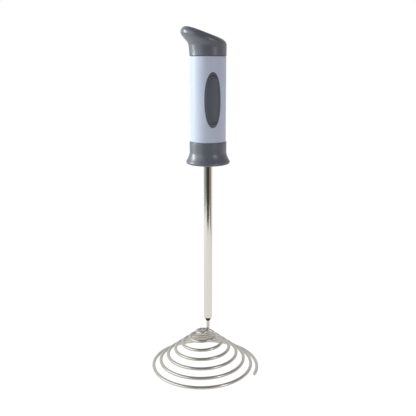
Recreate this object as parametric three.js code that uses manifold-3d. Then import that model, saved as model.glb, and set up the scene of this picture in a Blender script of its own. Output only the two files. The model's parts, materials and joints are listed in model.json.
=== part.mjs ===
// Hand-held milk frother: grip with press button, pull-off battery cap, motor, tube and spiral whisk.
// Millimetres, +Z up, button towards -Y, cap beak towards -X. The whisk rests on z = 0.

import * as THREE from "three";
import { mergeVertices } from "three/addons/utils/BufferGeometryUtils.js";
import Module from "manifold-3d";

const wasm = await Module();
wasm.setup();

// ---------- driving dimensions ----------

const GAP = 0.25; // clearance between neighbouring pieces
const QUARTER = Math.PI / 2;
const TURN = Math.PI * 2;

// spiral whisk, one wire wound on a cone and bent up into a stem on the tube's axis
const WIRE_R = 1.2;
const SPIRAL = {
  centre: [-3.04, 0.87],
  turnAngle: THREE.MathUtils.degToRad(-16), // direction of whole turns, seen from above
  outerR: 41.2,
  innerR: 3,
  pitch: 5.75, // radius lost per turn
  rise: 4.62, // height won per turn
  radiusEase: 0.15, // turns before the radius shrinks at its full rate
  riseEase: 0.45, // turns before the coil rises at its full rate
  firstTurn: -0.06,
  lastTurn: 6.72,
  stepsPerTurn: 30,
  sides: 8,
};
const STEM = { bendTop: 35.2, top: 52, lead: 3.2, pull: 3.4 };

// tube and drive line
const TUBE = { r: 3.2, bore: 2.75, bottom: 41.4, top: 165.4, flange: 1.2, flangeDepth: 0.6 };
const BUSH = { r: TUBE.bore - 0.15, bore: WIRE_R + 0.2, shoulderR: 2.45, depth: 5.5 };
const BUSH_TIP = { r: 1.65, z: 38.9 };
const UPPER_BUSH = { bottom: 141, top: 147 };
const FERRULE = { r: 2.3, bottom: 49, top: 57 };
const DRIVE_SHAFT = { r: WIRE_R, bottom: 52.4, top: 153.5 };
const COUPLING = { r: 2.3, bottom: 149, top: 160.5 };
const MOTOR_SHAFT = { r: 1, bottom: 154 };
const FIT = 0.15; // gap of a close fit, as between a shaft and its bush

// outer shells
const COLLAR = { r: 13.2, bottom: 160.85, top: 176.65, wall: 1.4, round: 0.5 };
const LIP = { r: 15.7, lowRound: 1.3, highRound: 2, arcTop: 31 };
const FLARE = { bendZ: 166.87, top: 169.5 };
const SLEEVE = { r: 12.7, wall: 1.2, bottom: 176.9, top: 235.8, round: 0.4 };
const SLEEVE_BORE = SLEEVE.r - SLEEVE.wall;
const CAP = { r: 12.9, bottom: 236.05, centreTop: 249.89, slope: 0.331, bow: 0.004, wall: 1.5 };
const RIM = { start: 0.703, width: 0.288 }; // shares of the cap's height and radius
// the beak swells between start and end, shares of the cap's height, and a little below them
const BEAK = { reach: 6.24, start: 0.404, end: 0.744, tail: 0.2, narrowing: 3 };
const SPIGOT = { wall: 1, depth: 3.2, shoulder: 1.2, halfWidth: 7.5 };
const BUTTON = { halfHeight: 18.6, halfWidth: 5.4, bluntness: 2.2, z: 206.4 };
const BUTTON_PAD = { thickness: 1.1, flange: 1 };
const POST = { r: 1.4, length: 2.6, y: -9.6 };

// cells, tray and motor
const CELL = { r: 5.25, length: 43.6, nubR: 1.9, nub: 0.9, x: 5.4, y: 1.25, bottom: 196.2 };
const TRAY = { r: SLEEVE_BORE - GAP, floor: 191.6, floorTop: 193.2, top: 231.5, frontY: -4.9 };
const NOTCH = { halfWidth: 8, y: TRAY.frontY - 1.5 }; // in the tray's floor, clear of the button
const BOARD = { halfWidth: 6, thickness: 0.8, top: 216 };
const SWITCH = { half: 3, depth: 2, cupR: 1.7 };
const BUTTON_SPRING = { r: 2.3, wireR: 0.2, length: 1.05, turns: 2 };
const CELL_SPRING = { bottomR: 3.4, topR: 1.6, wireR: 0.3, turns: 2.5 };
const LEAD_R = 0.45;
const MOTOR = { r: 10, flatY: 7.7, wall: 0.8, bottom: 168, top: 187.8, hole: 2.9 };
const MAGNET_ARC = { thickness: 1.35, bottom: 171.5, top: 182.5, fromX: 5.6, halfY: 5.8 };
const ARMATURE = { r: 6, bottom: 172, top: 183 };
const COMMUTATOR = { r: 2.5, bottom: 184.2, top: 187 };
const BRUSH = { halfX: 0.9, halfY: 0.7, y: 3.6, bottom: 184.8, top: 186.8 };
const END_CAP = { thickness: 1.6, bearingR: 3, bearingHeight: 2.6 };
const DAMPER = { bottom: 180, top: 185 };
const MOUNT = { bottom: 166.2, top: 167.7, r: 11.4, screwX: 6.5, hole: 3 };
const SCREW = { r: 0.8, headR: 1.7, head: 1.1, socketR: 0.5, socket: 0.6 };

// ---------- materials ----------

function material(color, roughness, metalness) {
  return new THREE.MeshStandardMaterial({ color, roughness, metalness });
}

const DARK_PLASTIC = material(0x585a63, 0.35, 0);
const PALE_PLASTIC = material(0xc3cde0, 0.4, 0);
const CHROME = material(0xd8d8d4, 0.1, 1);
const STEEL = material(0xb4b6b8, 0.25, 1);
const BRASS = material(0xb99a55, 0.3, 1);
const BLACK_PLASTIC = material(0x1d1e20, 0.55, 0);
const WHITE_PLASTIC = material(0xe6e5df, 0.5, 0);
const RUBBER = material(0x26272a, 0.85, 0);
const SPRING_STEEL = material(0xc9cacc, 0.3, 1);
const CELL_JACKET = material(0x3d6b58, 0.4, 0.2);
const COPPER = material(0xa8643a, 0.45, 0.8);
const FERRITE = material(0x3a3a3d, 0.6, 0.4);
const CIRCUIT_BOARD = material(0x2f6b3c, 0.5, 0);
const RED_WIRE = material(0xa82a24, 0.5, 0);
const BLACK_WIRE = material(0x17181a, 0.5, 0);

// ---------- solids ----------

function merged(geometry) {
  const plain = geometry.clone();
  plain.deleteAttribute("normal");
  plain.deleteAttribute("uv");
  return mergeVertices(plain, 1e-4);
}

function toSolid(geometry) {
  const shared = merged(geometry);
  return new wasm.Manifold(
    new wasm.Mesh({
      numProp: 3,
      vertProperties: new Float32Array(shared.attributes.position.array),
      triVerts: new Uint32Array(shared.index.array),
    }),
  );
}

function toGeometry(solid) {
  const mesh = solid.getMesh();
  const geometry = new THREE.BufferGeometry();
  geometry.setAttribute("position", new THREE.BufferAttribute(mesh.vertProperties, 3));
  geometry.setIndex(new THREE.BufferAttribute(mesh.triVerts, 1));
  geometry.computeVertexNormals();
  return geometry;
}

function cut(base, ...tools) {
  const left = tools.reduce((rest, tool) => rest.subtract(toSolid(tool)), toSolid(base));
  return toGeometry(left);
}

function common(base, ...tools) {
  const left = tools.reduce((rest, tool) => rest.intersect(toSolid(tool)), toSolid(base));
  return toGeometry(left);
}

function join(base, ...others) {
  const whole = others.reduce((sum, other) => sum.add(toSolid(other)), toSolid(base));
  return toGeometry(whole);
}

// A profile of [radius, height] points turned about +Z.
function revolve(profile, segments = 32) {
  const points = profile.map(([radius, height]) => new THREE.Vector2(radius, height));
  return new THREE.LatheGeometry(points, segments).rotateX(QUARTER);
}

function disc(radius, bottom, top, segments = 32) {
  return revolve([[0, bottom], [radius, bottom], [radius, top], [0, top]], segments);
}

function ring(inner, outer, bottom, top, segments = 32) {
  const profile = [[inner, bottom], [outer, bottom], [outer, top], [inner, top], [inner, bottom]];
  return revolve(profile, segments);
}

function box(x0, x1, y0, y1, z0, z1) {
  const geometry = new THREE.BoxGeometry(x1 - x0, y1 - y0, z1 - z0);
  return geometry.translate((x0 + x1) / 2, (y0 + y1) / 2, (z0 + z1) / 2);
}

// Points [radius, height] of an arc, angles in degrees, for use in a profile.
function arc(radius, height, round, from, to, steps) {
  return Array.from({ length: steps + 1 }, (_, i) => {
    const angle = THREE.MathUtils.degToRad(from + ((to - from) * i) / steps);
    return [radius + round * Math.cos(angle), height + round * Math.sin(angle)];
  });
}

// A round bar along a curve. A full circle gets two sides for each curve segment.
function bar(curve, radius, steps, sides) {
  const section = new THREE.Shape();
  section.absarc(0, 0, radius, 0, TURN);
  return new THREE.ExtrudeGeometry(section, {
    steps,
    curveSegments: sides / 2,
    bevelEnabled: false,
    extrudePath: curve,
  });
}

// A ring of round section about +Z, such as a seal.
function torus(radius, section, height, segments = 32) {
  return new THREE.TorusGeometry(radius, section, 6, segments).translate(0, 0, height);
}

// The button's outline in X and Z, an ellipse with blunter ends, grown by extra and extruded along Y.
function uprightOval(extra, y0, y1) {
  const blunt = (share) => Math.sign(share) * Math.abs(share) ** (2 / BUTTON.bluntness);
  const points = Array.from({ length: 72 }, (_, i) => {
    const angle = (TURN * i) / 72;
    const x = (BUTTON.halfWidth + extra) * blunt(Math.cos(angle));
    return new THREE.Vector2(x, (BUTTON.halfHeight + extra) * blunt(Math.sin(angle)));
  });
  const geometry = new THREE.ExtrudeGeometry(new THREE.Shape(points), {
    depth: y1 - y0,
    bevelEnabled: false,
  });
  return geometry.rotateX(QUARTER).translate(0, y1, BUTTON.z);
}

// ---------- curves ----------

class WhiskWire extends THREE.Curve {
  constructor() {
    super();
    const end = this.coil(SPIRAL.lastTurn);
    const ahead = this.coil(SPIRAL.lastTurn + 0.01);
    const heading = ahead.clone().sub(end).normalize();
    this.bend = new THREE.CubicBezierCurve3(
      end,
      end.clone().addScaledVector(heading, STEM.lead),
      new THREE.Vector3(0, 0, STEM.bendTop - STEM.pull),
      new THREE.Vector3(0, 0, STEM.bendTop),
    );
    this.coilShare = 0.94;
    this.bendShare = 0.05;
    this.turns = SPIRAL.lastTurn - SPIRAL.firstTurn;
  }

  // The wire's centre after a number of turns, measured from the first whole turn.
  coil(turns) {
    const shrink = turns - SPIRAL.radiusEase * (1 - Math.exp(-turns / SPIRAL.radiusEase));
    const climb = turns - SPIRAL.riseEase * (1 - Math.exp(-turns / SPIRAL.riseEase));
    const radius = Math.hypot(SPIRAL.outerR - SPIRAL.pitch * shrink, SPIRAL.innerR);
    const angle = SPIRAL.turnAngle + TURN * turns;
    return new THREE.Vector3(
      SPIRAL.centre[0] + radius * Math.cos(angle),
      SPIRAL.centre[1] + radius * Math.sin(angle),
      WIRE_R + SPIRAL.rise * climb,
    );
  }

  getPoint(u, target = new THREE.Vector3()) {
    if (u <= this.coilShare) {
      return target.copy(this.coil(SPIRAL.firstTurn + (this.turns * u) / this.coilShare));
    }
    const bendEnd = this.coilShare + this.bendShare;
    if (u <= bendEnd) {
      return target.copy(this.bend.getPoint((u - this.coilShare) / this.bendShare));
    }
    return target.set(0, 0, THREE.MathUtils.mapLinear(u, bendEnd, 1, STEM.bendTop, STEM.top));
  }

  // Steps are equal in turns, not in length, so that the small turns stay round.
  getPointAt(u, target) {
    return this.getPoint(u, target);
  }

  getTangentAt(u, target) {
    return this.getTangent(u, target);
  }
}

class Helix extends THREE.Curve {
  constructor(bottomR, topR, bottom, top, turns) {
    super();
    Object.assign(this, { bottomR, topR, bottom, top, turns });
  }

  getPoint(u, target = new THREE.Vector3()) {
    const radius = THREE.MathUtils.lerp(this.bottomR, this.topR, u);
    const angle = TURN * this.turns * u;
    const height = THREE.MathUtils.lerp(this.bottom, this.top, u);
    return target.set(radius * Math.cos(angle), radius * Math.sin(angle), height);
  }
}

// ---------- scene graph ----------

const frother = new THREE.Group();
const parts = {};
for (const name of ["handle", "cap", "button", "rotor"]) {
  parts[name] = new THREE.Group();
  frother.add(parts[name]);
}

function add(group, name, geometry, look) {
  const mesh = new THREE.Mesh(geometry, look);
  mesh.name = name;
  parts[group].add(mesh);
  return mesh;
}

// ---------- outer shells ----------

function gripSleeve() {
  const shell = revolve([
    [SLEEVE_BORE, SLEEVE.bottom],
    ...arc(SLEEVE.r - SLEEVE.round, SLEEVE.bottom + SLEEVE.round, SLEEVE.round, -90, 0, 5),
    [SLEEVE.r, SLEEVE.top],
    [SLEEVE_BORE, SLEEVE.top],
    [SLEEVE_BORE, SLEEVE.bottom],
  ], 56);
  const hole = uprightOval(GAP, -SLEEVE.r - 2, -SLEEVE_BORE / 2);
  add("handle", "grip_sleeve", cut(shell, hole), PALE_PLASTIC);
}

function lowerCollar() {
  const inner = COLLAR.r - COLLAR.wall;
  const floorTop = COLLAR.bottom + COLLAR.wall;
  const lipZ = COLLAR.bottom + LIP.lowRound;
  const lip = [
    ...arc(LIP.r - LIP.lowRound, lipZ, LIP.lowRound, -90, 0, 5),
    ...arc(LIP.r - LIP.highRound, lipZ, LIP.highRound, 0, LIP.arcTop, 2).slice(1),
  ];
  const flare = new THREE.QuadraticBezierCurve(
    new THREE.Vector2(...lip.at(-1)),
    new THREE.Vector2(COLLAR.r, FLARE.bendZ),
    new THREE.Vector2(COLLAR.r, FLARE.top),
  );
  const bore = TUBE.r + GAP;
  const shell = revolve([
    [bore, COLLAR.bottom],
    ...lip,
    ...flare.getPoints(6).slice(1).map((point) => [point.x, point.y]),
    ...arc(COLLAR.r - COLLAR.round, COLLAR.top - COLLAR.round, COLLAR.round, 0, 90, 3),
    [inner, COLLAR.top],
    [inner, floorTop],
    [bore, floorTop],
    [bore, COLLAR.bottom],
  ], 48);
  add("handle", "lower_collar", shell, DARK_PLASTIC);
}

// A unit drum with a rounded rim. Its radius grows towards -X with height to make the beak, and its
// top is slanted and slightly hollow.
function capShape(radius, bottom, drop, segments) {
  const rows = 7;
  const profile = [
    [0, 0],
    [1, 0],
    ...Array.from({ length: rows }, (_, i) => [1, (RIM.start * (i + 1)) / rows]),
    ...arc(0, 0, 1, 0, 90, 6)
      .slice(1)
      .map(([x, y]) => [1 - RIM.width + RIM.width * x, RIM.start + (1 - RIM.start) * y]),
    [0, 1],
  ];
  const geometry = revolve(profile, segments);
  const place = geometry.attributes.position;
  for (let i = 0; i < place.count; i++) {
    const share = Math.hypot(place.getX(i), place.getY(i));
    const angle = Math.atan2(place.getY(i), place.getX(i));
    const level = place.getZ(i);
    const side = ((1 - Math.cos(angle)) / 2) ** BEAK.narrowing;
    const main = THREE.MathUtils.smoothstep(level, BEAK.start, BEAK.end);
    const tail = THREE.MathUtils.smoothstep(level, 0, BEAK.end);
    const swell = THREE.MathUtils.lerp(main, tail, BEAK.tail);
    const reach = share * (radius + BEAK.reach * side * swell);
    const x = reach * Math.cos(angle);
    const top = CAP.centreTop - drop - CAP.slope * x + CAP.bow * x * x;
    place.setXYZ(i, x, reach * Math.sin(angle), bottom + level * (top - bottom));
  }
  return geometry;
}

function topCap() {
  const outer = capShape(CAP.r, CAP.bottom, 0, 48);
  const hollow = capShape(CAP.r - CAP.wall, CAP.bottom - 1, CAP.wall, 24);
  const spigotR = SLEEVE_BORE - GAP;
  const low = CAP.bottom - SPIGOT.depth;
  const high = CAP.bottom + SPIGOT.shoulder;
  const spigot = ring(spigotR - SPIGOT.wall, spigotR, low, high, 48);
  const front = box(-SPIGOT.halfWidth, SPIGOT.halfWidth, -CAP.r, CAP.r, low - 1, high + 1);
  const tongues = common(spigot, front);
  const overlap = 0.3;
  const shoulder = ring(spigotR - overlap, CAP.r - CAP.wall + overlap, CAP.bottom, high, 48);
  const shell = cut(outer, hollow);
  add("cap", "top_cap", join(shell, shoulder, tongues), DARK_PLASTIC);
}

function powerButton() {
  const backR = SLEEVE_BORE - BUTTON_PAD.thickness;
  const low = BUTTON.z - BUTTON.halfHeight - 4;
  const high = BUTTON.z + BUTTON.halfHeight + 4;
  const oval = (extra) => uprightOval(extra, -SLEEVE.r - 1, -SLEEVE_BORE / 2);
  const pad = common(ring(backR, SLEEVE.r, low, high, 72), oval(0));
  const flange = common(ring(backR, SLEEVE_BORE - GAP, low, high, 72), oval(BUTTON_PAD.flange));
  const post = new THREE.CylinderGeometry(POST.r, POST.r, POST.length, 20);
  post.translate(0, POST.y, BUTTON.z);
  add("button", "power_button", join(pad, flange, post), DARK_PLASTIC);
}

// ---------- tube and bushes ----------

function tubeAndBushes() {
  const flangeR = TUBE.r + TUBE.flange;
  const flangeBottom = TUBE.top - TUBE.flangeDepth;
  const tube = revolve([
    [TUBE.bore, TUBE.bottom],
    [TUBE.r - 0.3, TUBE.bottom],
    [TUBE.r - 0.1, TUBE.bottom + 0.35],
    [TUBE.r, TUBE.bottom + 0.9],
    [TUBE.r, flangeBottom],
    [flangeR, flangeBottom],
    [flangeR, TUBE.top],
    [TUBE.bore, TUBE.top],
    [TUBE.bore, TUBE.bottom],
  ], 28);
  add("handle", "shaft_tube", tube, CHROME);

  const shoulder = TUBE.bottom - GAP;
  const lowerBush = revolve([
    [BUSH.bore, BUSH_TIP.z],
    [BUSH_TIP.r, BUSH_TIP.z],
    [BUSH.shoulderR, shoulder],
    [BUSH.r, shoulder],
    [BUSH.r, TUBE.bottom + BUSH.depth],
    [BUSH.bore, TUBE.bottom + BUSH.depth],
    [BUSH.bore, BUSH_TIP.z],
  ], 24);
  add("handle", "lower_bush", lowerBush, BLACK_PLASTIC);
  const upperBush = ring(BUSH.bore, BUSH.r, UPPER_BUSH.bottom, UPPER_BUSH.top, 28);
  add("handle", "upper_bush", upperBush, BRASS);

  const floorTop = COLLAR.bottom + COLLAR.wall;
  const sealRound = 0.6;
  const seal = torus(TUBE.r + GAP + sealRound, sealRound, floorTop + sealRound + 0.05, 24);
  add("handle", "tube_seal", seal, RUBBER);
  const seat = floorTop + 2 * sealRound + 0.2;
  const retainer = ring(TUBE.r + FIT, TUBE.r + 3, seat, flangeBottom - FIT, 32);
  add("handle", "tube_ring", retainer, STEEL);
}

// ---------- motor ----------

// The motor's section: a disc with two flats.
function motorBlock(radius, flat, bottom, top) {
  return common(disc(radius, bottom, top, 48), box(-radius, radius, -flat, flat, bottom, top));
}

function screwHoles(radius, bottom, top) {
  return [-1, 1].map((side) => disc(radius, bottom, top, 16).translate(side * MOUNT.screwX, 0, 0));
}

function motorBody() {
  const can = motorBlock(MOTOR.r, MOTOR.flatY, MOTOR.bottom, MOTOR.top);
  const inside = motorBlock(
    MOTOR.r - MOTOR.wall,
    MOTOR.flatY - MOTOR.wall,
    MOTOR.bottom + MOTOR.wall,
    MOTOR.top + 1,
  );
  const front = [MOTOR.bottom - 1, MOTOR.bottom + 2];
  const shell = cut(can, inside, disc(MOTOR.hole, ...front, 28), ...screwHoles(1, ...front));
  add("handle", "motor_can", shell, STEEL);

  const bushBottom = MOUNT.top - 1.2;
  const frontBush = ring(MOTOR_SHAFT.r + FIT, MOTOR.hole - 0.2, bushBottom, MOTOR.bottom + 2.4, 28);
  add("handle", "motor_front_bush", frontBush, BRASS);

  const coverBottom = MOTOR.top + FIT;
  const cover = motorBlock(MOTOR.r, MOTOR.flatY, coverBottom, coverBottom + END_CAP.thickness);
  const bearingTop = coverBottom + END_CAP.bearingHeight;
  const bearing = disc(END_CAP.bearingR, coverBottom, bearingTop, 28);
  const hole = disc(MOTOR_SHAFT.r + FIT, coverBottom - 1, bearingTop - 0.5, 20);
  add("handle", "motor_end_cap", cut(join(cover, bearing), hole), WHITE_PLASTIC);
}

function magnetsAndBrushes() {
  const { thickness, bottom, top, fromX, halfY } = MAGNET_ARC;
  const outerR = MOTOR.r - MOTOR.wall - FIT;
  const round = ring(outerR - thickness, outerR, bottom, top, 48);
  const right = common(round, box(fromX, outerR + 1, -halfY, halfY, bottom, top));
  add("handle", "motor_magnet_1", right.clone().rotateZ(Math.PI), FERRITE);
  add("handle", "motor_magnet_2", right, FERRITE);
  const brush = box(-BRUSH.halfX, BRUSH.halfX, -BRUSH.halfY, BRUSH.halfY, BRUSH.bottom, BRUSH.top);
  add("handle", "motor_brush_1", brush.clone().translate(0, -BRUSH.y, 0), COPPER);
  add("handle", "motor_brush_2", brush.clone().translate(0, BRUSH.y, 0), COPPER);
}

function motorFixings() {
  const beyond = [MOUNT.bottom - 1, MOUNT.top + 1];
  const plate = disc(MOUNT.r, MOUNT.bottom, MOUNT.top, 48);
  const mount = cut(plate, disc(MOUNT.hole, ...beyond, 28), ...screwHoles(1.1, ...beyond));
  add("handle", "motor_mount", mount, BLACK_PLASTIC);

  const seat = MOUNT.bottom - FIT;
  const tip = MOTOR.bottom + 2 * MOTOR.wall;
  const screw = revolve([
    [0, seat - SCREW.head + SCREW.socket],
    [SCREW.socketR, seat - SCREW.head + SCREW.socket],
    [SCREW.socketR, seat - SCREW.head],
    [SCREW.headR - 0.2, seat - SCREW.head],
    [SCREW.headR, seat],
    [SCREW.r, seat],
    [SCREW.r, tip],
    [0, tip],
  ], 16);
  add("handle", "motor_screw_1", screw.clone().translate(-MOUNT.screwX, 0, 0), STEEL);
  add("handle", "motor_screw_2", screw.clone().translate(MOUNT.screwX, 0, 0), STEEL);

  const damper = cut(
    ring(MOTOR.flatY - 0.7, SLEEVE_BORE - GAP, DAMPER.bottom, DAMPER.top, 48),
    motorBlock(MOTOR.r + FIT, MOTOR.flatY + FIT, DAMPER.bottom - 1, DAMPER.top + 1),
  );
  add("handle", "motor_damper", damper, RUBBER);
}

// ---------- battery tray, cells and contacts ----------

function cellSolid() {
  const top = CELL.bottom + CELL.length;
  const round = 0.5;
  return revolve([
    [0, CELL.bottom],
    [CELL.r - round, CELL.bottom],
    [CELL.r, CELL.bottom + round],
    [CELL.r, top - round],
    [CELL.r - round, top],
    [CELL.nubR, top],
    [CELL.nubR, top + CELL.nub],
    [0, top + CELL.nub],
  ], 28);
}

function batteries() {
  const upright = cellSolid();
  add("handle", "battery_cell_1", upright.clone().translate(-CELL.x, CELL.y, 0), CELL_JACKET);
  const middle = CELL.bottom + (CELL.length + CELL.nub) / 2;
  const turned = upright.clone().translate(0, 0, -middle).rotateX(Math.PI).translate(0, 0, middle);
  add("handle", "battery_cell_2", turned.translate(CELL.x, CELL.y, 0), CELL_JACKET);

  const above = TRAY.top + 1;
  const pockets = [-1, 1].map((side) =>
    disc(CELL.r + 0.2, TRAY.floorTop, above, 40).translate(side * CELL.x, CELL.y, 0),
  );
  const front = box(-TRAY.r, TRAY.r, -TRAY.r, TRAY.frontY, TRAY.floorTop, above);
  const recess = disc(END_CAP.bearingR + 0.4, TRAY.floor - 1, TRAY.floor + 0.6, 24);
  const { halfWidth } = NOTCH;
  const notch = box(-halfWidth, halfWidth, -TRAY.r, NOTCH.y, TRAY.floor - 1, TRAY.floorTop + 1);
  const tray = cut(disc(TRAY.r, TRAY.floor, TRAY.top, 64), ...pockets, front, recess, notch);
  add("handle", "battery_tray", tray, WHITE_PLASTIC);

  const { bottomR, topR, wireR, turns } = CELL_SPRING;
  const low = TRAY.floorTop + wireR + FIT;
  const coil = new Helix(bottomR, topR, low, CELL.bottom - wireR - FIT, turns);
  const spring = bar(coil, wireR, 32, 6).translate(-CELL.x, CELL.y, 0);
  add("handle", "negative_spring", spring, SPRING_STEEL);
  const plateTop = TRAY.floorTop + 0.55;
  const contact = join(
    disc(3.6, TRAY.floorTop + FIT, plateTop, 28),
    disc(1.6, plateTop - FIT, CELL.bottom - FIT, 20),
  ).translate(CELL.x, CELL.y, 0);
  add("handle", "positive_contact", contact, BRASS);
}

function switchParts() {
  const back = TRAY.frontY - 0.3;
  const front = back - BOARD.thickness;
  const board = box(-BOARD.halfWidth, BOARD.halfWidth, front, back, TRAY.floorTop + 0.3, BOARD.top);
  add("handle", "switch_board", board, CIRCUIT_BOARD);
  const { half, depth, cupR } = SWITCH;
  const face = front - FIT;
  const housing = cut(
    box(-half, half, face - depth, face, BUTTON.z - half, BUTTON.z + half),
    new THREE.CylinderGeometry(cupR, cupR, 3.4, 24).translate(0, face - depth, BUTTON.z),
  );
  add("handle", "switch_housing", housing, BLACK_PLASTIC);
  const { r, wireR, length, turns } = BUTTON_SPRING;
  const coil = bar(new Helix(r, r, 0, length, turns), wireR, 28, 6);
  coil.rotateX(QUARTER).translate(0, face - depth - 0.3, BUTTON.z);
  add("button", "button_spring", coil, SPRING_STEEL);
}

function lead(...points) {
  const stops = points.map(([x, y, z]) => new THREE.Vector3(x, y, z));
  return bar(new THREE.CatmullRomCurve3(stops, false, "centripetal"), LEAD_R, 12, 6);
}

function leads() {
  const low = MOTOR.top + 2.6;
  const high = TRAY.floor - 0.6;
  const motorLead = (side) =>
    lead(
      [side * 6, 3, low],
      [side * 7.5, 0, low + 0.2],
      [side * 6, -4, high - 0.1],
      [side * 2.5, -6.4, high],
    );
  add("handle", "motor_lead_1", motorLead(-1), RED_WIRE);
  add("handle", "motor_lead_2", motorLead(1), BLACK_WIRE);
  const rising = lead(
    [0, -7.1, high - 0.2],
    [0, -7.2, TRAY.floorTop],
    [0, -7.1, TRAY.floorTop + 4.8],
    [0, -6.6, TRAY.floorTop + 8.8],
  );
  add("handle", "switch_lead", rising, RED_WIRE);
}

function capContacts() {
  const floor = CELL.bottom + CELL.length + CELL.nub + 0.3;
  const plateTop = floor + 0.4;
  const halfDepth = 2.2;
  const bridge = box(-8, 8, CELL.y - halfDepth, CELL.y + halfDepth, floor, plateTop);
  add("cap", "cap_bridge", bridge, BRASS);
  const carrier = disc(CAP.r - CAP.wall - 0.6, plateTop + FIT, plateTop + 1.5, 48);
  add("cap", "cap_contact_carrier", carrier, BLACK_PLASTIC);
  const sealR = SLEEVE.r - SLEEVE.wall / 2 - 0.1;
  const seal = ring(sealR - 0.4, sealR + 0.3, SLEEVE.top + 0.05, CAP.bottom - 0.05, 40);
  add("cap", "cap_seal", seal, RUBBER);
}

// ---------- rotor ----------

function rotor() {
  const path = new WhiskWire();
  const steps = Math.round((SPIRAL.stepsPerTurn * path.turns) / path.coilShare);
  add("rotor", "spiral_whisk", bar(path, WIRE_R, steps, SPIRAL.sides), STEEL);

  const ferrule = ring(WIRE_R + FIT, FERRULE.r, FERRULE.bottom, FERRULE.top, 28);
  add("rotor", "whisk_ferrule", ferrule, BRASS);
  const shaft = disc(DRIVE_SHAFT.r, DRIVE_SHAFT.bottom, DRIVE_SHAFT.top, 24);
  add("rotor", "drive_shaft", shaft, STEEL);
  const coupling = cut(
    disc(COUPLING.r, COUPLING.bottom, COUPLING.top, 28),
    disc(DRIVE_SHAFT.r + FIT, COUPLING.bottom - 1, DRIVE_SHAFT.top + 0.2, 24),
    disc(MOTOR_SHAFT.r + FIT, DRIVE_SHAFT.top, COUPLING.top + 1, 24),
  );
  add("rotor", "shaft_coupling", coupling, BLACK_PLASTIC);

  const spindleTop = MOTOR.top + END_CAP.bearingHeight - 0.8;
  const spindle = disc(MOTOR_SHAFT.r, MOTOR_SHAFT.bottom, spindleTop, 24);
  add("rotor", "motor_shaft", spindle, STEEL);
  const bore = MOTOR_SHAFT.r + FIT;
  const core = ring(bore, ARMATURE.r, ARMATURE.bottom, ARMATURE.top, 40);
  add("rotor", "motor_armature", core, COPPER);
  const commutator = ring(bore, COMMUTATOR.r, COMMUTATOR.bottom, COMMUTATOR.top, 24);
  add("rotor", "motor_commutator", commutator, COPPER);
}

gripSleeve();
lowerCollar();
topCap();
powerButton();
tubeAndBushes();
motorBody();
magnetsAndBrushes();
motorFixings();
batteries();
switchParts();
leads();
capContacts();
rotor();

// The origin is the middle of the whole object's footprint, on the surface it stands on.
frother.updateMatrixWorld(true);
const bounds = new THREE.Box3().setFromObject(frother, true);
const middle = bounds.getCenter(new THREE.Vector3());
for (const part of Object.values(parts)) {
  part.position.set(-middle.x, -middle.y, -bounds.min.z);
}

export default frother;
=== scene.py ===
# Milk frother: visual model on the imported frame.
# Shapes are made in millimetres about the tube's axis, and the scene is in metres.
import json
import math

import bpy
from mathutils import Matrix, Vector


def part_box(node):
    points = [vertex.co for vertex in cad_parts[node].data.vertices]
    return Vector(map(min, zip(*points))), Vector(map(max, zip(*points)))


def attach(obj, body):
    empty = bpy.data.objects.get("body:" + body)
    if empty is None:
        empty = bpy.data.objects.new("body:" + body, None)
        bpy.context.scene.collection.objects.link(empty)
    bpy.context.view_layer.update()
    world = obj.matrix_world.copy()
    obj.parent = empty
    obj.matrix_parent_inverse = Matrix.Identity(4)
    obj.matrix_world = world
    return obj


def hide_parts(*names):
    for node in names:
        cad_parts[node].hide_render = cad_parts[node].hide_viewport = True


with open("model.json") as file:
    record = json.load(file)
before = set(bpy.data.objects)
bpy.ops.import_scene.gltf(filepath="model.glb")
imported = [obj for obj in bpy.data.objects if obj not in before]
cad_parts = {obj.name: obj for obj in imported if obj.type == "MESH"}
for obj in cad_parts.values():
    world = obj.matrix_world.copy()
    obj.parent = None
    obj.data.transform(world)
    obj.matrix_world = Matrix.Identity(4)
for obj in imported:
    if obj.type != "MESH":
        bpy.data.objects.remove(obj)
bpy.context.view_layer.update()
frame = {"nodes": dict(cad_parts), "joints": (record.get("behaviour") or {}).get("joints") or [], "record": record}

MM = 0.001
TURN = 2 * math.pi

joints = {joint["name"]: joint for joint in frame["joints"]}
axis_x, axis_y = joints["whisk_spin"]["pos_m"][:2]
AXIS = Vector((axis_x, axis_y, 0))

# ---------- sizes, some read from the frame -----


def heights(node):
    low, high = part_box(node)
    return low[2] / MM, high[2] / MM


def radius_of(node):
    low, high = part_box(node)
    return (high[1] - low[1]) / 2 / MM


FIT_GAP = 0.25  # clearance between neighbouring outer pieces
SEAM = 0.02  # gap between the sleeve and the collar
EDGE_ROW = 2  # extra points this far from an edge keep its shading clean

SLEEVE_R = radius_of("grip_sleeve")
SLEEVE_LOW, SLEEVE_TOP = heights("grip_sleeve")
SLEEVE_WALL = 1.2
COLLAR_LIP_R = radius_of("lower_collar")
COLLAR_LOW = heights("lower_collar")[0]
COLLAR_R = SLEEVE_R + 0.5
COLLAR_WALL = 1.4
TUBE_LOW, TUBE_TOP = heights("shaft_tube")
TUBE_R = 3.2
TUBE_BORE = 2.75
BUSH_TOP = heights("lower_bush")[1]
BUSH_LOW = 38.9
BUSH_TIP_R = 1.65
BUSH_SHOULDER_R = 2.45
CAP_R = SLEEVE_R + 0.2
CAP_LOW = SLEEVE_TOP + FIT_GAP
CAP_WALL = 1.5
BUTTON_Z = sum(heights("power_button")) / 2
BUTTON_HALF_W = 5.4
BUTTON_HALF_H = 18.6
BUTTON_THICK = 1.1
WIRE_R = 1.2

# ---------- mesh tools ----------

SHARP_EDGE = math.radians(35)
ON_AXIS = 1e-6


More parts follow.
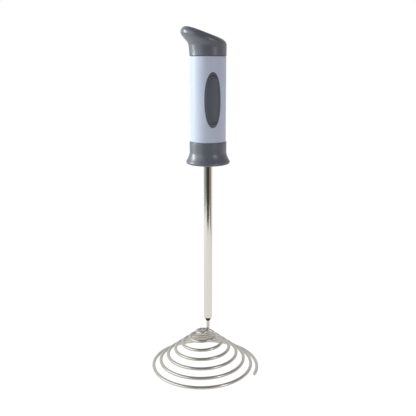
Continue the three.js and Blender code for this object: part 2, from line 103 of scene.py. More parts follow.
def make(name, verts, faces, look, body, stands_for, uvs=None):
    mesh = bpy.data.meshes.new(name)
    mesh.from_pydata([(AXIS + Vector(v) * MM) for v in verts], [], faces)
    mesh.validate()
    if uvs:
        layer = mesh.uv_layers.new(name="UVMap")
        for loop in mesh.loops:
            layer.data[loop.index].uv = uvs[loop.vertex_index]
    mesh.shade_smooth()
    mesh.set_sharp_from_angle(angle=SHARP_EDGE)
    mesh.materials.append(look)
    piece = bpy.data.objects.new(name, mesh)
    bpy.context.scene.collection.objects.link(piece)
    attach(piece, body)
    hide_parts(*stands_for)
    return piece


def arc(radius, height, round_r, start, end, steps):
    """Points (radius, height) of an arc, angles in degrees."""
    points = []
    for i in range(steps + 1):
        a = math.radians(start + (end - start) * i / steps)
        points.append((radius + round_r * math.cos(a), height + round_r * math.sin(a)))
    return points


def smoothstep(value, low, high):
    t = min(max((value - low) / (high - low), 0), 1)
    return t * t * (3 - 2 * t)


def turned(profile, segments, closed=True, place=None):
    """Vertices and faces of a profile of (radius, height) points turned about the axis.

    place, where given, makes the vertex of a radius, a height and an angle.
    """
    verts, faces, rows = [], [], []
    for r, z in profile:
        if r < ON_AXIS:
            verts.append(place(0, z, 0) if place else (0, 0, z))
            rows.append([len(verts) - 1] * segments)
            continue
        row = []
        for j in range(segments):
            a = TURN * j / segments
            verts.append(place(r, z, a) if place else (r * math.cos(a), r * math.sin(a), z))
            row.append(len(verts) - 1)
        rows.append(row)
    for low, high in zip(rows, rows[1:] + ([rows[0]] if closed else [])):
        for j in range(segments):
            k = (j + 1) % segments
            corners = []
            for v in (low[j], low[k], high[k], high[j]):
                if v not in corners:
                    corners.append(v)
            if len(corners) > 2:
                faces.append(corners)
    return verts, faces


def sweep(points, radii, sides):
    """A round bar along points, closed at both ends.

    Its frames are carried along it, so that it doesn't twist.
    """
    verts, faces, uvs = [], [], []
    tangents = []
    for i in range(len(points)):
        ahead = points[min(i + 1, len(points) - 1)]
        behind = points[max(i - 1, 0)]
        tangents.append((ahead - behind).normalized())
    side = tangents[0].orthogonal().normalized()
    length = 0.0
    for i, point in enumerate(points):
        if i:
            turn = tangents[i - 1].rotation_difference(tangents[i])
            side = (turn @ side).normalized()
            length += (point - points[i - 1]).length
        other = tangents[i].cross(side)
        for j in range(sides):
            a = TURN * j / sides
            verts.append(tuple(point + (side * math.cos(a) + other * math.sin(a)) * radii[i]))
            uvs.append((length, j / sides))
    for i in range(len(points) - 1):
        for j in range(sides):
            k = (j + 1) % sides
            faces.append((i * sides + j, i * sides + k, (i + 1) * sides + k, (i + 1) * sides + j))
    faces.append(tuple(reversed(range(sides))))
    last = (len(points) - 1) * sides
    faces.append(tuple(range(last, last + sides)))
    return verts, faces, uvs


# ---------- materials ----------


# Noise mostly stays between these two, so ramps run from one to the other.
NOISE_LOW = 0.35
NOISE_HIGH = 0.65


class Nodes:
    """A short way to build a node material."""

    def __init__(self, name):
        self.material = bpy.data.materials.new(name)
        self.material.use_nodes = True
        self.tree = self.material.node_tree
        self.shader = self.tree.nodes["Principled BSDF"]

    def add(self, kind, **settings):
        node = self.tree.nodes.new(kind)
        for key, value in settings.items():
            if key in node.inputs:
                node.inputs[key].default_value = value
            else:
                setattr(node, key, value)
        return node

    def link(self, out, into):
        self.tree.links.new(out, into)

    def noise(self, scale, detail, stretch=(1, 1, 1), coordinate="Object"):
        where = self.add("ShaderNodeTexCoord")
        mapping = self.add("ShaderNodeMapping")
        mapping.inputs["Scale"].default_value = stretch
        self.link(where.outputs[coordinate], mapping.inputs["Vector"])
        noise = self.add("ShaderNodeTexNoise", Scale=scale, Detail=detail)
        self.link(mapping.outputs["Vector"], noise.inputs["Vector"])
        return noise.outputs["Fac"]

    def ramp(self, source, low, high, start=NOISE_LOW, end=NOISE_HIGH):
        ramp = self.add("ShaderNodeMapRange")
        ramp.inputs["From Min"].default_value = start
        ramp.inputs["From Max"].default_value = end
        ramp.inputs["To Min"].default_value = low
        ramp.inputs["To Max"].default_value = high
        self.link(source, ramp.inputs["Value"])
        return ramp.outputs["Result"]

    def colours(self, source, first, second):
        ramp = self.add("ShaderNodeValToRGB")
        ramp.color_ramp.elements[0].position = NOISE_LOW
        ramp.color_ramp.elements[0].color = (*first, 1)
        ramp.color_ramp.elements[1].position = NOISE_HIGH
        ramp.color_ramp.elements[1].color = (*second, 1)
        self.link(source, ramp.inputs["Fac"])
        return ramp.outputs["Color"]

    def bump(self, source, distance, strength):
        bump = self.add("ShaderNodeBump")
        bump.inputs["Distance"].default_value = distance
        bump.inputs["Strength"].default_value = strength
        self.link(source, bump.inputs["Height"])
        return bump.outputs["Normal"]


def plastic(name, colour, roughness, shade=0.06, grain=2600, grain_depth=0.00001, ior=1.5):
    n = Nodes(name)
    darker = tuple(c * (1 - shade) for c in colour)
    n.link(n.colours(n.noise(60, 4), darker, colour), n.shader.inputs["Base Color"])
    wear = n.ramp(n.noise(220, 5), roughness * 0.94, roughness * 1.06)
    n.link(wear, n.shader.inputs["Roughness"])
    n.link(n.bump(n.noise(grain, 2), grain_depth, 0.35), n.shader.inputs["Normal"])
    n.shader.inputs["IOR"].default_value = ior
    return n.material


def metal(
    name,
    colour,
    roughness,
    stretch=(1, 1, 1),
    scale=400,
    depth=0.000004,
    coordinate="Object",
    shade=0.08,
    spread=0.3,
):
    n = Nodes(name)
    darker = tuple(c * (1 - shade) for c in colour)
    tint = n.colours(n.noise(scale / 6, 4, stretch, coordinate), darker, colour)
    n.link(tint, n.shader.inputs["Base Color"])
    n.shader.inputs["Metallic"].default_value = 1.0
    wear = n.noise(scale, 5, stretch, coordinate)
    low, high = roughness * (1 - spread), roughness * (1 + spread)
    n.link(n.ramp(wear, low, high), n.shader.inputs["Roughness"])
    if depth:
        grain = n.noise(scale * 2, 3, stretch, coordinate)
        n.link(n.bump(grain, depth, 0.4), n.shader.inputs["Normal"])
    return n.material


BARE_END = 1.6 * MM
JACKET_EDGE = 0.1 * MM


def cell_look(low, high):
    """A printed jacket with bare metal at both ends of the cell."""
    n = Nodes("cell_jacket")
    where = n.add("ShaderNodeTexCoord")
    split = n.add("ShaderNodeSeparateXYZ")
    n.link(where.outputs["Object"], split.inputs["Vector"])
    offset = n.add("ShaderNodeMath", operation="SUBTRACT")
    offset.inputs[1].default_value = (low[2] + high[2]) / 2
    n.link(split.outputs["Z"], offset.inputs[0])
    away = n.add("ShaderNodeMath", operation="ABSOLUTE")
    n.link(offset.outputs["Value"], away.inputs[0])
    jacket_end = (high[2] - low[2]) / 2 - BARE_END
    bare = n.ramp(away.outputs["Value"], 0, 1, jacket_end, jacket_end + JACKET_EDGE)
    n.link(n.colours(bare, (0.05, 0.13, 0.10), (0.60, 0.61, 0.62)), n.shader.inputs["Base Color"])
    n.link(bare, n.shader.inputs["Metallic"])
    n.link(n.ramp(n.noise(300, 4), 0.24, 0.34), n.shader.inputs["Roughness"])
    return n.material


DARK = plastic("dark_plastic", (0.133, 0.149, 0.180), 0.34, ior=1.62, grain_depth=0.000001)
PAD = plastic("pad_plastic", (0.108, 0.123, 0.157), 0.40, grain_depth=0.000002)
PALE = plastic(
    "pale_plastic", (0.585, 0.655, 0.80), 0.45, shade=0.03, grain_depth=0.000002, ior=1.42
)
TUBE_LOOK = metal("tube_chrome", (0.82, 0.81, 0.78), 0.10, stretch=(1, 1, 0.05), scale=900)
# The wire's noise is stretched along it, so that the look doesn't break up round the coil.
WIRE_LOOK = metal(
    "whisk_wire",
    (0.655, 0.645, 0.61),
    0.29,
    stretch=(0.003, 1, 1),
    scale=24,
    depth=0,
    coordinate="UV",
    spread=0.12,
)
BLACK = plastic("black_plastic", (0.018, 0.018, 0.02), 0.4)
WHITE = plastic("white_plastic", (0.78, 0.77, 0.73), 0.45)
RUBBER = plastic("rubber", (0.02, 0.02, 0.022), 0.75, grain=1500, grain_depth=0.00003)
STEEL = metal("plain_steel", (0.60, 0.61, 0.62), 0.3, stretch=(1, 1, 0.2), scale=500)
BRASS = metal("brass", (0.62, 0.47, 0.20), 0.28)
COPPER = metal("copper", (0.62, 0.30, 0.17), 0.35)
MAGNET = metal("magnet", (0.12, 0.12, 0.12), 0.6, scale=900)
JACKET = cell_look(*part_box("battery_cell_1"))
BOARD = plastic("board", (0.02, 0.12, 0.05), 0.4, shade=0.25)
RED = plastic("red_insulation", (0.40, 0.03, 0.02), 0.5)
INSULATION = plastic("black_insulation", (0.015, 0.015, 0.017), 0.5)

# ---------- sleeve ----------

OVAL_POWER = 2.2
PATCH_HALF_W = 8.6
PATCH_MARGIN = 3.2
SLEEVE_LOW_RIM = 0.4
SLEEVE_TOP_RIM = 0.2
HOLE_ROUND = 0.35


def oval(a, half_width, half_height):
    """A point of the button's outline, an ellipse with blunter ends."""

    def blunt(share):
        return math.copysign(abs(share) ** (2 / OVAL_POWER), share)

    return half_width * blunt(math.cos(a)), half_height * blunt(math.sin(a))


def frange(start, end, count):
    return [start + (end - start) * i / count for i in range(count + 1)]


def sleeve_rows(middle):
    """The outer wall's (height, radius) rows, with the first and last row of the patch."""
    rows = []
    rim = SLEEVE_LOW_RIM
    for degrees in range(0, 91, 15):
        a = math.radians(degrees)
        rows.append((SLEEVE_LOW + rim - rim * math.cos(a), SLEEVE_R - rim + rim * math.sin(a)))
    rows += [(z, SLEEVE_R) for z in frange(rows[-1][0], middle[0], 5)[1:]]
    patch_first = len(rows) - 1
    rows += [(z, SLEEVE_R) for z in middle[1:]]
    patch_last = len(rows) - 1
    rim = SLEEVE_TOP_RIM
    rows += [(z, SLEEVE_R) for z in frange(middle[-1], SLEEVE_TOP - rim, 5)[1:]]
    for degrees in (30, 60, 90):
        a = math.radians(degrees)
        rows.append((SLEEVE_TOP - rim + rim * math.sin(a), SLEEVE_R - rim + rim * math.cos(a)))
    return rows, patch_first, patch_last


def patch_border(grid, first, last, columns):
    """The corners round the patch, counter-clockwise seen from the front."""
    border = [grid[first][j] for j in range(columns)]
    border += [grid[i][columns] for i in range(first, last)]
    border += [grid[last][j] for j in range(columns, 0, -1)]
    border += [grid[i][0] for i in range(last, first, -1)]
    return border


def joined(inner, outer):
    """Faces between two closed rings of points."""
    faces = []
    for j in range(len(inner)):
        k = (j + 1) % len(inner)
        faces.append((inner[j], inner[k], outer[k], outer[j]))
    return faces


def flipped(faces):
    return [(b, a, d, c) for a, b, c, d in faces]


def wall_faces(grid, first, last, columns):
    """The outward faces of a round wall, leaving the patch out."""
    faces = []
    for i, (low, high) in enumerate(zip(grid, grid[1:])):
        ring = joined(low, high)
        faces += ring[columns:] if first <= i < last else ring
    return faces


def sleeve_piece():
    """A tube with an oval hole.

    A patch of rings round the hole is set in a grid that runs round the tube.
    """
    hole_w, hole_h = BUTTON_HALF_W + FIT_GAP, BUTTON_HALF_H + FIT_GAP
    patch_h = BUTTON_HALF_H + PATCH_MARGIN
    patch_angle = math.asin(PATCH_HALF_W / SLEEVE_R)
    across = frange(-patch_angle, patch_angle, 16)
    around = across + frange(patch_angle, TURN - patch_angle, 84)[1:-1]
    columns = len(across) - 1
    middle = frange(BUTTON_Z - patch_h, BUTTON_Z + patch_h, 40)
    verts = []

    def lay(rows):
        grid = []
        for z, r in rows:
            grid.append(list(range(len(verts), len(verts) + len(around))))
            verts.extend((r * math.sin(a), -r * math.cos(a), z) for a in around)
        return grid

    rows, patch_first, patch_last = sleeve_rows(middle)
    grid = lay(rows)
    faces = wall_faces(grid, patch_first, patch_last, columns)
    border = patch_border(grid, patch_first, patch_last, columns)
    spots = []
    for v in border:
        x, _, z = verts[v]
        spots.append((x, z, math.atan2((z - BUTTON_Z) / hole_h, x / hole_w)))

    def ring(offset, depth, blend):
        row = []
        for x, z, a in spots:
            ex, ez = oval(a, hole_w + offset, hole_h + offset)
            ez += BUTTON_Z
            px, pz = ex + (x - ex) * blend, ez + (z - ez) * blend
            r = SLEEVE_R - depth
            verts.append((px, -math.sqrt(r * r - px * px), pz))
            row.append(len(verts) - 1)
        return row

    rings = [border]
    rings += [ring(HOLE_ROUND, 0, b) for b in (0.82, 0.64, 0.46, 0.3, 0.16, 0.06, 0.0)]
    for degrees in (20, 40, 60, 75, 90):
        a = math.radians(degrees)
        rings.append(ring(HOLE_ROUND * (1 - math.sin(a)), HOLE_ROUND * (1 - math.cos(a)), 0.0))
    rings.append(ring(0, SLEEVE_WALL, 0.0))
    for outer, inner in zip(rings, rings[1:]):
        faces += joined(outer, inner)

    # The inner wall is a plain grid with the same patch. Its faces look inwards.
    inner_grid = lay([(z, SLEEVE_R - SLEEVE_WALL) for z in [SLEEVE_LOW] + middle + [SLEEVE_TOP]])
    high = len(inner_grid) - 2
    faces += flipped(wall_faces(inner_grid, 1, high, columns))
    faces += joined(rings[-1], patch_border(inner_grid, 1, high, columns))
    faces += flipped(joined(grid[0], inner_grid[0]))
    faces += joined(grid[-1], inner_grid[-1])
    return make("sleeve_shell", verts, faces, PALE, "handle", ["grip_sleeve"])


# ---------- collar ----------

COLLAR_TOP_ROUND = 0.35
COLLAR_INNER_ROUND = 0.2
LIP_LOW_ROUND = 1.3
LIP_HIGH_ROUND = 2.0
LIP_ARC_TOP = 31
FLARE_BEND = Vector((COLLAR_R, COLLAR_LOW + 6.02))
FLARE_END = Vector((COLLAR_R, COLLAR_LOW + 8.65))


def collar_piece():
    hole_r = TUBE_R + FIT_GAP
    profile = [(hole_r, COLLAR_LOW)]
    lip_z = COLLAR_LOW + LIP_LOW_ROUND
    profile += arc(COLLAR_LIP_R - LIP_LOW_ROUND, lip_z, LIP_LOW_ROUND, -90, 0, 16)
    profile += arc(COLLAR_LIP_R - LIP_HIGH_ROUND, lip_z, LIP_HIGH_ROUND, 0, LIP_ARC_TOP, 10)[1:]
    start = Vector(profile[-1])
    for i in range(1, 25):
        t = i / 24
        point = start * (1 - t) ** 2 + FLARE_BEND * 2 * t * (1 - t) + FLARE_END * t * t
        profile.append((point.x, point.y))
    top = SLEEVE_LOW - SEAM
    profile += [(COLLAR_R, FLARE_END.y + EDGE_ROW), (COLLAR_R, top - EDGE_ROW)]
    edge = COLLAR_TOP_ROUND
    profile += arc(COLLAR_R - edge, top - edge, edge, 0, 90, 8)
    inner = COLLAR_R - COLLAR_WALL
    edge = COLLAR_INNER_ROUND
    profile += arc(inner + edge, top - edge, edge, 90, 180, 3)
    profile += [(inner, COLLAR_LOW + COLLAR_WALL), (hole_r, COLLAR_LOW + COLLAR_WALL)]
    verts, faces = turned(profile, 144)
    return make("collar_shell", verts, faces, DARK, "handle", ["lower_collar"])


# ---------- cap ----------

CAP_TOP_MIDDLE = 249.89
CAP_SLOPE = 0.331
CAP_BOW = 0.004
BEAK_REACH = 6.24
BEAK_START = 0.404
BEAK_END = 0.744
BEAK_NARROWING = 3.0
BEAK_TAIL = 0.2
RIM_START = 0.703
RIM_WIDTH = 0.288


def cap_place(radius, bottom, drop):
    """Bends a unit drum into the cap, whose slanted top ends in a beak on the low X side."""

    def place(share, level, angle):
        side = ((1 - math.cos(angle)) / 2) ** BEAK_NARROWING
        swell = smoothstep(level, BEAK_START, BEAK_END)
        swell += BEAK_TAIL * (smoothstep(level, 0, BEAK_END) - swell)
        reach = share * (radius + BEAK_REACH * side * swell)
        x = reach * math.cos(angle)
        top = CAP_TOP_MIDDLE - drop - CAP_SLOPE * x + CAP_BOW * x * x
        return (x, reach * math.sin(angle), bottom + level * (top - bottom))

    return place


def rim_rows(step):
    """The rounded rim of a unit drum, a point every so many degrees."""
    rows = []
    for degrees in range(step, 91, step):
        a = math.radians(degrees)
        rows.append((1 - RIM_WIDTH * (1 - math.cos(a)), RIM_START + (1 - RIM_START) * math.sin(a)))
    return rows


def cap_piece():
    segments = 160
    outer_rows = [(1 - 0.02, 0.0), (1 - 0.006, 0.006), (1, 0.02)]  # a small bevel
    outer_rows += [(1, RIM_START * i / 32) for i in range(1, 33)]
    outer_rows += rim_rows(5)
    outer_rows += [(0.55, 1), (0.4, 1), (0.2, 1), (0, 1)]
    verts, faces = turned(outer_rows, segments, closed=False, place=cap_place(CAP_R, CAP_LOW, 0))
    inner_r = CAP_R - CAP_WALL
    inner_rows = [(1, 0.0)] + [(1, RIM_START * i / 12) for i in range(1, 13)]
    inner_rows += rim_rows(15)
    inner_rows += [(0.3, 1), (0, 1)]
    inner_place = cap_place(inner_r, CAP_LOW, CAP_WALL)
    more, inside = turned(inner_rows, segments, closed=False, place=inner_place)
    base = len(verts)
    verts += more
    faces += [tuple(v + base for v in reversed(face)) for face in inside]
    for j in range(segments):
        k = (j + 1) % segments
        faces.append((k, j, base + j, base + k))
    return make("cap_shell", verts, faces, DARK, "cap", ["top_cap"])


# ---------- button ----------

GROOVES = (0.62, 0.71, 0.80, 0.89)
GROOVE_WIDTH = 0.015
GROOVE_DEPTH = 0.7
GROOVE_FADE = (0.72, 0.86)
BOWL_DEPTH = 0.3
BOWL_REACH = 0.8
PAD_EDGE = 0.5
PAD_FLANGE = 1.0


def button_piece():
    segments, rings_count = 144, 120
    outer_r = SLEEVE_R
    back_r = SLEEVE_R - SLEEVE_WALL - BUTTON_THICK
    verts, faces = [], []

    def dish(s, z):
        """How far the pad's face lies below its outer cylinder.

        It is a shallow bowl with arched grooves at both ends.
        """
        bowl = BOWL_DEPTH * (1 - min(s / BOWL_REACH, 1) ** 2) ** 2
        near_end = smoothstep(abs(z - BUTTON_Z) / BUTTON_HALF_H, *GROOVE_FADE)
        groove = sum(math.exp(-(((s - centre) / GROOVE_WIDTH) ** 2)) for centre in GROOVES)
        return bowl + GROOVE_DEPTH * groove * near_end

    def spot(s, a, depth, grow=0.0):
        x, z = oval(a, BUTTON_HALF_W * s + grow, BUTTON_HALF_H * s + grow)
        r = outer_r - depth
        return (x, -math.sqrt(r * r - x * x), BUTTON_Z + z)

    rows = []

    def add_row(points):
        base = len(verts)
        verts.extend(points)
        rows.append(list(range(base, base + len(points))))

    angles = [TURN * j / segments for j in range(segments)]
    for i in range(1, rings_count + 1):
        s = (1 - PAD_EDGE / BUTTON_HALF_W) * (i / rings_count)
        add_row([spot(s, a, dish(s, spot(s, a, 0)[2])) for a in angles])
    for t in (20, 40, 60, 80, 90):
        sine, cosine = math.sin(math.radians(t)), math.cos(math.radians(t))
        add_row([spot(1, a, PAD_EDGE * (1 - cosine), -PAD_EDGE * (1 - sine)) for a in angles])
    pad_back = SLEEVE_R - SLEEVE_WALL - FIT_GAP
    add_row([spot(1, a, outer_r - pad_back) for a in angles])
    add_row([spot(1, a, outer_r - pad_back, PAD_FLANGE) for a in angles])
    add_row([spot(1, a, outer_r - back_r, PAD_FLANGE) for a in angles])
    verts.append(spot(0, 0, dish(0, BUTTON_Z)))
    middle = len(verts) - 1
    verts.append(spot(0, 0, outer_r - back_r))
    back_middle = len(verts) - 1
    for low, high in zip(rows, rows[1:]):
        for j in range(segments):
            k = (j + 1) % segments
            faces.append((low[j], low[k], high[k], high[j]))
    for j in range(segments):
        k = (j + 1) % segments
        faces.append((middle, rows[0][k], rows[0][j]))
        faces.append((back_middle, rows[-1][j], rows[-1][k]))
    faces = [tuple(reversed(f)) for f in faces]
    return make("button_pad", verts, faces, PAD, "button", ["power_button"])


# ---------- tube and bush ----------

TUBE_END_INSET = 0.3
TUBE_END_LENGTH = 0.9
TUBE_FLANGE = 1.2
TUBE_FLANGE_THICK = 0.6
BUSH_EDGE = 0.1


def tube_piece():
    profile = [(TUBE_BORE, TUBE_LOW + 0.1), (TUBE_BORE + 0.08, TUBE_LOW)]
    for degrees in range(0, 91, 10):
        a = math.radians(degrees)
        r = TUBE_R - TUBE_END_INSET * (1 - math.sin(a))
        profile.append((r, TUBE_LOW + TUBE_END_LENGTH * (1 - math.cos(a))))
    flange_r, flange_low = TUBE_R + TUBE_FLANGE, TUBE_TOP - TUBE_FLANGE_THICK
    profile += [(TUBE_R, TUBE_LOW + EDGE_ROW), (TUBE_R, TUBE_TOP - EDGE_ROW), (TUBE_R, flange_low)]
    profile += [(flange_r, flange_low), (flange_r, TUBE_TOP), (TUBE_BORE, TUBE_TOP)]
    verts, faces = turned(profile, 96)
    return make("polished_tube", verts, faces, TUBE_LOOK, "handle", ["shaft_tube"])


def bush_piece():
    bore = WIRE_R + 0.2
    shoulder = TUBE_LOW - FIT_GAP
    edge = BUSH_EDGE
    profile = [(bore, BUSH_LOW + 0.05), (bore + 0.05, BUSH_LOW)]
    profile += arc(BUSH_TIP_R - edge, BUSH_LOW + edge, edge, -90, -10, 5)
    profile += arc(BUSH_SHOULDER_R - edge, shoulder - edge, edge, 0, 90, 3)
    profile += [(TUBE_BORE - 0.15, shoulder), (TUBE_BORE - 0.15, BUSH_TOP), (bore, BUSH_TOP)]
    verts, faces = turned(profile, 64)
    return make("bush_cone", verts, faces, BLACK, "handle", ["lower_bush"])


# ---------- whisk ----------

SPIRAL_CENTRE = Vector((-3.04, 0.87, 0))
TURN_ANGLE = math.radians(-16)
OUTER_R = 41.2
INNER_R = 3.0
PITCH = 5.75
RISE = 4.62
RADIUS_EASE = 0.15
RISE_EASE = 0.45
FIRST_TURN = -0.06
LAST_TURN = 6.72
STEM_TOP = 52.0
STEM_BEND_TOP = 35.2
BEND_PULL_LOW = 3.2
BEND_PULL_HIGH = 3.4
STEPS_A_TURN = 260
WIRE_CHAMFER = 0.2
WIRE_SIDES = 28


def coil_point(turns):
    shrink = turns - RADIUS_EASE * (1 - math.exp(-turns / RADIUS_EASE))
    climb = turns - RISE_EASE * (1 - math.exp(-turns / RISE_EASE))
    r = math.hypot(OUTER_R - PITCH * shrink, INNER_R)
    a = TURN_ANGLE + TURN * turns
    return SPIRAL_CENTRE + Vector((r * math.cos(a), r * math.sin(a), WIRE_R + RISE * climb))


def whisk_piece():
    steps = int((LAST_TURN - FIRST_TURN) * STEPS_A_TURN)
    points = [coil_point(turns) for turns in frange(FIRST_TURN, LAST_TURN, steps)]
    end = points[-1]
    heading = (coil_point(LAST_TURN + 0.01) - end).normalized()
    bend = [
        end,
        end + heading * BEND_PULL_LOW,
        Vector((0, 0, STEM_BEND_TOP - BEND_PULL_HIGH)),
        Vector((0, 0, STEM_BEND_TOP)),
    ]
    for i in range(1, 41):
        t = i / 40
        s = 1 - t
        low = bend[0] * s**3 + bend[1] * 3 * s * s * t
        points.append(low + bend[2] * 3 * s * t * t + bend[3] * t**3)
    points += [Vector((0, 0, z)) for z in frange(STEM_BEND_TOP, STEM_TOP, 12)[1:]]
    first_step = (points[1] - points[0]).normalized()
    points.insert(1, points[0] + first_step * WIRE_CHAMFER)
    radii = [WIRE_R - WIRE_CHAMFER] + [WIRE_R] * (len(points) - 1)
    verts, faces, uvs = sweep(points, radii, WIRE_SIDES)
    return make(
        "whisk_coil", verts, faces, WIRE_LOOK, "rotor", ["spiral_whisk"], uvs
    )


# ---------- pieces carried over from the frame ----------

FRAME_SHARP_EDGE = math.radians(30)
LOOKS = {
    "steel": STEEL,
    "brass": BRASS,
    "copper": COPPER,
    "magnet": MAGNET,
    "black_plastic": BLACK,
    "white_plastic": WHITE,
    "rubber": RUBBER,
    "cell_jacket": JACKET,
    "board": BOARD,
    "wire_red": RED,
    "wire_black": INSULATION,
    "dark_plastic": DARK,
    "pale_plastic": PALE,
    "polished_tube": TUBE_LOOK,
    "wire_steel": STEEL,
}


def paint_frame():
    for row in frame["record"]["subparts"]:
        node = frame["nodes"][row["node"]]
        node.data.materials.clear()
        node.data.materials.append(LOOKS[row["material_slot"]])
        node.data.shade_smooth()
        node.data.set_sharp_from_angle(angle=FRAME_SHARP_EDGE)


paint_frame()
sleeve_piece()
collar_piece()
cap_piece()
button_piece()
tube_piece()
bush_piece()
whisk_piece()

# ---------- floor, light and camera ----------

# Level directions as the camera sees them: away from it, and to its right.
CAMERA_SIDE = math.radians(-16)
BEHIND = Vector((-math.sin(CAMERA_SIDE), math.cos(CAMERA_SIDE), 0))
RIGHT = Vector((math.cos(CAMERA_SIDE), math.sin(CAMERA_SIDE), 0))
TABLE_FRONT = 0.41
TABLE_RIGHT = 0.37
TABLE_LEFT = 0.48
TABLE_BACK = 6.0
TABLE_GLOW = 0.58
# The camera sees the table mostly as plain white.
TABLE_SEEN_WHITE = 1.08
TABLE_SEEN_SHARE = 0.85


def floor():
    """A white table top, which ends in front of the object where the room gets dark."""
    corners = [
        AXIS + RIGHT * side + BEHIND * back
        for side, back in (
            (-TABLE_LEFT, -TABLE_FRONT),
            (TABLE_RIGHT, -TABLE_FRONT),
            (TABLE_RIGHT, TABLE_BACK),
            (-TABLE_LEFT, TABLE_BACK),
        )
    ]
    mesh = bpy.data.meshes.new("floor")
    mesh.from_pydata(corners, [], [(0, 1, 2, 3)])
    n = Nodes("floor")
    n.shader.inputs["Base Color"].default_value = (0.40, 0.40, 0.39, 1)
    n.shader.inputs["Roughness"].default_value = 0.9
    n.shader.inputs["Specular IOR Level"].default_value = 0.1
    n.shader.inputs["Emission Color"].default_value = (1.0, 0.975, 0.915, 1)
    n.shader.inputs["Emission Strength"].default_value = TABLE_GLOW
    white = n.add("ShaderNodeEmission", Strength=TABLE_SEEN_WHITE)
    seen = n.add("ShaderNodeLightPath")
    share = n.add("ShaderNodeMath", operation="MULTIPLY")
    share.inputs[1].default_value = TABLE_SEEN_SHARE
    n.link(seen.outputs["Is Camera Ray"], share.inputs[0])
    mix = n.add("ShaderNodeMixShader")
    n.link(share.outputs["Value"], mix.inputs["Fac"])
    n.link(n.shader.outputs["BSDF"], mix.inputs[1])
    n.link(white.outputs["Emission"], mix.inputs[2])
    n.link(mix.outputs["Shader"], n.tree.nodes["Material Output"].inputs["Surface"])
    mesh.materials.append(n.material)
    plane = bpy.data.objects.new("floor", mesh)
    bpy.context.scene.collection.objects.link(plane)


# The room's colour for each direction round the table, in degrees from the camera's side,
# with the right-hand side positive.
LOW_ROOM = (
    (-180, (0.72, 0.72, 0.71)),
    (-136, (0.58, 0.58, 0.57)),
    (-89, (0.45, 0.45, 0.44)),
    (-54, (0.23, 0.225, 0.215)),
    (-24, (0.07, 0.065, 0.055)),
    (0, (0.045, 0.04, 0.03)),
    (22, (0.04, 0.035, 0.03)),
    (36, (0.25, 0.20, 0.165)),
    (80, (0.30, 0.25, 0.21)),
    (104, (0.85, 0.85, 0.83)),
    (180, (0.72, 0.72, 0.71)),
)
HIGH_ROOM = (
    (-180, (0.80, 0.80, 0.80)),
    (-125, (0.85, 0.87, 0.87)),
    (-90, (0.70, 0.72, 0.72)),
    (-55, (0.38, 0.39, 0.39)),
    (-25, (0.20, 0.19, 0.20)),
    (60, (0.17, 0.155, 0.17)),
    (110, (0.46, 0.43, 0.46)),
    (150, (0.70, 0.69, 0.70)),
    (180, (0.80, 0.80, 0.80)),
)
CEILING = (0.26, 0.26, 0.26)
# The upward share of a direction over which the low room turns into the high one,
# and the high one into the ceiling.
HORIZON = (-0.04, 0.08)
CEILING_EDGE = (0.5, 0.85)


class Room:
    """The room round the table as a colour for each direction. The camera sees plain white."""

    def __init__(self):
        made = bpy.data.worlds.new("studio")
        bpy.context.scene.world = made
        made.use_nodes = True
        self.tree = made.node_tree
        self.direction = self.tree.nodes.new("ShaderNodeTexCoord").outputs["Generated"]
        up = self.along((0, 0, 1))
        round_angle = self.tree.nodes.new("ShaderNodeMath")
        round_angle.operation = "ARCTAN2"
        self.tree.links.new(self.along(RIGHT), round_angle.inputs[0])
        self.tree.links.new(self.along(-BEHIND), round_angle.inputs[1])
        share = self.step(round_angle.outputs["Value"], -math.pi, math.pi, "LINEAR")
        height = self.step(up, *HORIZON)
        walls = self.mix(height, self.ring(share, LOW_ROOM), self.ring(share, HIGH_ROOM))
        room = self.mix(self.step(up, *CEILING_EDGE), walls, CEILING)
        seen = self.tree.nodes.new("ShaderNodeLightPath").outputs["Is Camera Ray"]
        back = self.tree.nodes["Background"]
        self.tree.links.new(self.mix(seen, room, (1, 1, 1)), back.inputs["Color"])
        back.inputs["Strength"].default_value = 1.0

    def along(self, vector):
        dot = self.tree.nodes.new("ShaderNodeVectorMath")
        dot.operation = "DOT_PRODUCT"
        self.tree.links.new(self.direction, dot.inputs[0])
        dot.inputs[1].default_value = vector
        return dot.outputs["Value"]

    def step(self, source, start, end, kind="SMOOTHSTEP"):
        node = self.tree.nodes.new("ShaderNodeMapRange")
        node.interpolation_type = kind
        node.inputs["From Min"].default_value = start
        node.inputs["From Max"].default_value = end
        self.tree.links.new(source, node.inputs["Value"])
        return node.outputs["Result"]

    def ring(self, share, stops):
        """A colour ramp over the whole circle."""
        node = self.tree.nodes.new("ShaderNodeValToRGB")
        points = node.color_ramp.elements
        while len(points) < len(stops):
            points.new(0.5)
        for point, (degrees, colour) in zip(points, stops):
            point.position = (degrees + 180) / 360
            point.color = (*colour, 1)
        self.tree.links.new(share, node.inputs["Fac"])
        return node.outputs["Color"]

    def mix(self, factor, first, second):
        node = self.tree.nodes.new("ShaderNodeMix")
        node.data_type = "RGBA"
        self.tree.links.new(factor, node.inputs[0])
        for socket, value in ((node.inputs[6], first), (node.inputs[7], second)):
            if isinstance(value, tuple):
                socket.default_value = (*value, 1)
            else:
                self.tree.links.new(value, socket)
        return node.outputs[2]


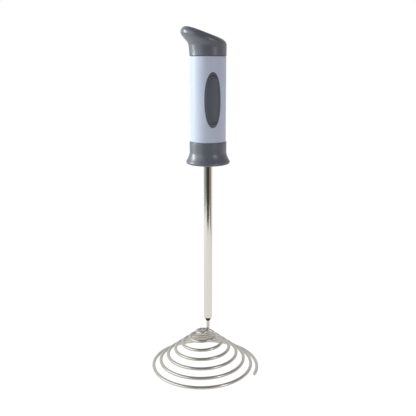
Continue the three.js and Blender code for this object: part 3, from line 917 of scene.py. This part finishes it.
def panel(name, place, target, width, height, power, colour):
    light = bpy.data.lights.new(name, "AREA")
    light.shape = "RECTANGLE"
    light.size, light.size_y = width, height
    light.energy = power
    light.color = colour
    lamp = bpy.data.objects.new(name, light)
    bpy.context.scene.collection.objects.link(lamp)
    lamp.location = place
    lamp.rotation_euler = (Vector(target) - Vector(place)).to_track_quat("-Z", "Y").to_euler()
    return lamp


CAMERA_AWAY = 0.4284
CAMERA_HEIGHT = 0.2328
CAMERA_DOWN = math.radians(13.79)
CAMERA_LENS = 51.92
CAMERA_SENSOR = 36


def camera():
    data = bpy.data.cameras.new("camera")
    data.lens = CAMERA_LENS
    data.sensor_width = CAMERA_SENSOR
    data.clip_start = 0.01
    cam = bpy.data.objects.new("camera", data)
    bpy.context.scene.collection.objects.link(cam)
    up = Vector((0, 0, 1))
    cam.location = AXIS - BEHIND * CAMERA_AWAY + up * CAMERA_HEIGHT
    ahead = BEHIND * math.cos(CAMERA_DOWN) - up * math.sin(CAMERA_DOWN)
    cam.rotation_euler = ahead.to_track_quat("-Z", "Y").to_euler()
    bpy.context.scene.camera = cam


floor()
Room()
camera()

COOL = (0.97, 1.0, 1.0)
WARM = (1.0, 0.93, 1.0)
WINDOW = AXIS - RIGHT * 1.08 + BEHIND * 0.15 + Vector((0, 0, 0.42))
window = panel("window", WINDOW, (0, 0, 0.42), width=0.28, height=0.56, power=9.0, colour=COOL)
# The window lamp is kept off the whisk, where it would make bright dashes.
shaded = bpy.data.collections.new("shaded")
shaded.objects.link(bpy.data.objects["whisk_coil"])
shaded.collection_objects[0].light_linking.link_state = "EXCLUDE"
window.light_linking.receiver_collection = shaded
SIDE = AXIS - RIGHT * 1.4 - BEHIND * 0.5 + Vector((0, 0, 0.65))
panel("side", SIDE, (0, 0, 0.16), width=1.9, height=1.4, power=10.2, colour=COOL)
FILL = AXIS + RIGHT * 0.75 - BEHIND * 0.75 + Vector((0, 0, 0.45))
panel("fill", FILL, (0, 0, 0.16), width=0.36, height=0.36, power=2.0, colour=WARM)
bpy.context.scene.view_settings.view_transform = "Standard"
